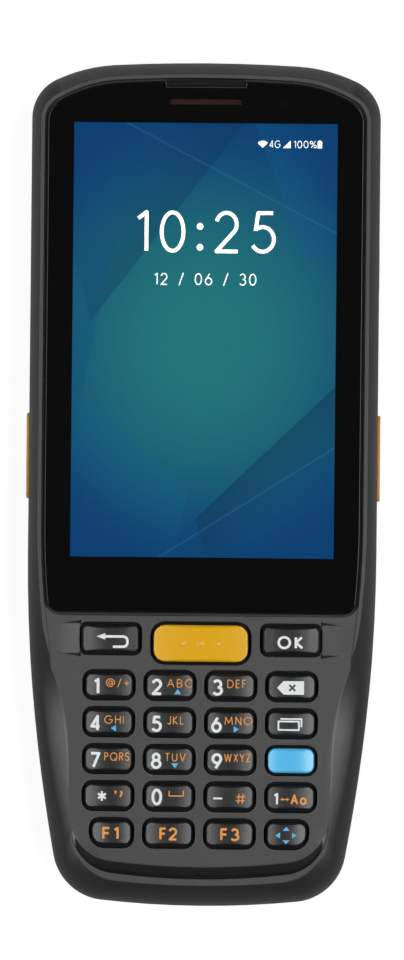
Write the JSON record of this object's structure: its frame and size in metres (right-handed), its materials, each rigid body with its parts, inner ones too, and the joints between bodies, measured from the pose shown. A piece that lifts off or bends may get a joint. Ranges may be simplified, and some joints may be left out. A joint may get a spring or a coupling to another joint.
{
  "type": "handheld barcode data terminal",
  "caption": "Rugged handheld barcode data terminal with a touch display over a physical keypad, side scan triggers, an end scan window and a latched battery cover.",
  "frame": {"origin": "on the back plane, under the middle of the body", "axes": "+Z out of the display, +Y towards the earpiece and the scan window, +X to the right when facing the display"},
  "size_m": [0.0718, 0.1706, 0.0205],
  "materials": {
    "housing_dark": "fine spark-eroded texture, satin dark grey",
    "housing_back": "fine spark-eroded texture, near black",
    "key_dark": "satin dark grey, printed legends",
    "key_yellow": "satin yellow",
    "key_blue": "satin light blue",
    "trigger_amber": "satin amber",
    "cover_glass": "gloss, black border printed from behind",
    "display": "lit colour display behind the glass",
    "clear_red": "clear dark red light guide",
    "lens_black": "gloss black barrel and lens",
    "mesh_black": "fine woven mesh, blackened",
    "module_black": "moulded black",
    "board_green": "glass-fibre board with solder mask",
    "steel": "stamped and brushed",
    "magnesium": "die cast, shot blasted",
    "dome_film": "steel domes under clear amber film",
    "silicone_dark": "moulded silicone, dark grey",
    "smoke_window": "polished dark red window",
    "battery": "moulded case with a printed label",
    "gold_contacts": "gold plated"
  },
  "bodies": {
    "body": {"battery_connector": "module_black", "battery_pack": "battery", "camera_window": "lens_black", "card_holder": "steel", "charging_contacts": "gold_contacts", "cover_glass": "cover_glass", "display_module": "display", "earpiece": "module_black", "earpiece_mesh": "mesh_black", "front_camera": "lens_black", "front_housing": "housing_dark", "housing_gasket": "silicone_dark", "housing_screws": "steel", "indicator_window": "clear_red", "keypad_board": "board_green", "keypad_mat": "silicone_dark", "loudspeaker": "module_black", "loudspeaker_mesh": "mesh_black", "main_board": "board_green", "microphone": "module_black", "midframe": "magnesium", "rear_camera": "lens_black", "rear_housing": "housing_back", "scan_engine": "module_black", "scan_window": "smoke_window", "side_switches": "steel", "snap_domes": "dome_film", "usb_socket": "steel", "vibration_motor": "steel", "wrist_strap_bar": "steel"},
    "key_0": {"key_0": "key_dark"},
    "key_1": {"key_1": "key_dark"},
    "key_2": {"key_2": "key_dark"},
    "key_3": {"key_3": "key_dark"},
    "key_4": {"key_4": "key_dark"},
    "key_5": {"key_5": "key_dark"},
    "key_6": {"key_6": "key_dark"},
    "key_7": {"key_7": "key_dark"},
    "key_8": {"key_8": "key_dark"},
    "key_9": {"key_9": "key_dark"},
    "key_arrows": {"key_arrows": "key_dark"},
    "key_back": {"key_back": "key_dark"},
    "key_blue": {"key_blue": "key_blue"},
    "key_delete": {"key_delete": "key_dark"},
    "key_f1": {"key_f1": "key_dark"},
    "key_f2": {"key_f2": "key_dark"},
    "key_f3": {"key_f3": "key_dark"},
    "key_input": {"key_input": "key_dark"},
    "key_minus": {"key_minus": "key_dark"},
    "key_ok": {"key_ok": "key_dark"},
    "key_recents": {"key_recents": "key_dark"},
    "key_scan": {"key_scan": "key_yellow"},
    "key_star": {"key_star": "key_dark"},
    "trigger_left": {"trigger_left": "trigger_amber"},
    "trigger_right": {"trigger_right": "trigger_amber"},
    "volume_key": {"volume_key": "key_dark"},
    "power_key": {"power_key": "key_dark"},
    "battery_cover": {"battery_cover": "housing_back", "battery_cover_seal": "silicone_dark"},
    "battery_latch": {"battery_latch": "key_dark"}
  },
  "joints": [
    {"name": "key_0_press", "type": "slide", "parent": "body", "child": "key_0", "axis": [0, 0, -1], "range_m": [0, 0.0006], "stiffness_N_per_m": 1500},
    {"name": "key_1_press", "type": "slide", "parent": "body", "child": "key_1", "axis": [0, 0, -1], "range_m": [0, 0.0006], "stiffness_N_per_m": 1500},
    {"name": "key_2_press", "type": "slide", "parent": "body", "child": "key_2", "axis": [0, 0, -1], "range_m": [0, 0.0006], "stiffness_N_per_m": 1500},
    {"name": "key_3_press", "type": "slide", "parent": "body", "child": "key_3", "axis": [0, 0, -1], "range_m": [0, 0.0006], "stiffness_N_per_m": 1500},
    {"name": "key_4_press", "type": "slide", "parent": "body", "child": "key_4", "axis": [0, 0, -1], "range_m": [0, 0.0006], "stiffness_N_per_m": 1500},
    {"name": "key_5_press", "type": "slide", "parent": "body", "child": "key_5", "axis": [0, 0, -1], "range_m": [0, 0.0006], "stiffness_N_per_m": 1500},
    {"name": "key_6_press", "type": "slide", "parent": "body", "child": "key_6", "axis": [0, 0, -1], "range_m": [0, 0.0006], "stiffness_N_per_m": 1500},
    {"name": "key_7_press", "type": "slide", "parent": "body", "child": "key_7", "axis": [0, 0, -1], "range_m": [0, 0.0006], "stiffness_N_per_m": 1500},
    {"name": "key_8_press", "type": "slide", "parent": "body", "child": "key_8", "axis": [0, 0, -1], "range_m": [0, 0.0006], "stiffness_N_per_m": 1500},
    {"name": "key_9_press", "type": "slide", "parent": "body", "child": "key_9", "axis": [0, 0, -1], "range_m": [0, 0.0006], "stiffness_N_per_m": 1500},
    {"name": "key_arrows_press", "type": "slide", "parent": "body", "child": "key_arrows", "axis": [0, 0, -1], "range_m": [0, 0.0006], "stiffness_N_per_m": 1500},
    {"name": "key_back_press", "type": "slide", "parent": "body", "child": "key_back", "axis": [0, 0, -1], "range_m": [0, 0.0006], "stiffness_N_per_m": 1500},
    {"name": "key_blue_press", "type": "slide", "parent": "body", "child": "key_blue", "axis": [0, 0, -1], "range_m": [0, 0.0006], "stiffness_N_per_m": 1500},
    {"name": "key_delete_press", "type": "slide", "parent": "body", "child": "key_delete", "axis": [0, 0, -1], "range_m": [0, 0.0006], "stiffness_N_per_m": 1500},
    {"name": "key_f1_press", "type": "slide", "parent": "body", "child": "key_f1", "axis": [0, 0, -1], "range_m": [0, 0.0006], "stiffness_N_per_m": 1500},
    {"name": "key_f2_press", "type": "slide", "parent": "body", "child": "key_f2", "axis": [0, 0, -1], "range_m": [0, 0.0006], "stiffness_N_per_m": 1500},
    {"name": "key_f3_press", "type": "slide", "parent": "body", "child": "key_f3", "axis": [0, 0, -1], "range_m": [0, 0.0006], "stiffness_N_per_m": 1500},
    {"name": "key_input_press", "type": "slide", "parent": "body", "child": "key_input", "axis": [0, 0, -1], "range_m": [0, 0.0006], "stiffness_N_per_m": 1500},
    {"name": "key_minus_press", "type": "slide", "parent": "body", "child": "key_minus", "axis": [0, 0, -1], "range_m": [0, 0.0006], "stiffness_N_per_m": 1500},
    {"name": "key_ok_press", "type": "slide", "parent": "body", "child": "key_ok", "axis": [0, 0, -1], "range_m": [0, 0.0006], "stiffness_N_per_m": 1500},
    {"name": "key_recents_press", "type": "slide", "parent": "body", "child": "key_recents", "axis": [0, 0, -1], "range_m": [0, 0.0006], "stiffness_N_per_m": 1500},
    {"name": "key_scan_press", "type": "slide", "parent": "body", "child": "key_scan", "axis": [0, 0, -1], "range_m": [0, 0.0006], "stiffness_N_per_m": 1500},
    {"name": "key_star_press", "type": "slide", "parent": "body", "child": "key_star", "axis": [0, 0, -1], "range_m": [0, 0.0006], "stiffness_N_per_m": 1500},
    {"name": "trigger_left_press", "type": "slide", "parent": "body", "child": "trigger_left", "axis": [1, 0, 0], "range_m": [0, 0.0006], "stiffness_N_per_m": 1500},
    {"name": "trigger_right_press", "type": "slide", "parent": "body", "child": "trigger_right", "axis": [-1, 0, 0], "range_m": [0, 0.0006], "stiffness_N_per_m": 1500},
    {"name": "volume_key_press", "type": "slide", "parent": "body", "child": "volume_key", "axis": [1, 0, 0], "range_m": [0, 0.0004], "stiffness_N_per_m": 1500},
    {"name": "power_key_press", "type": "slide", "parent": "body", "child": "power_key", "axis": [-1, 0, 0], "range_m": [0, 0.0004], "stiffness_N_per_m": 1500},
    {"name": "battery_cover_hinge", "type": "hinge", "parent": "body", "child": "battery_cover", "pos_m": [0, 0.024, 0], "axis": [1, 0, 0], "range_deg": [0, 75]},
    {"name": "battery_latch_slide", "type": "slide", "parent": "battery_cover", "child": "battery_latch", "axis": [0, -1, 0], "range_m": [0, 0.002]}
  ]
}
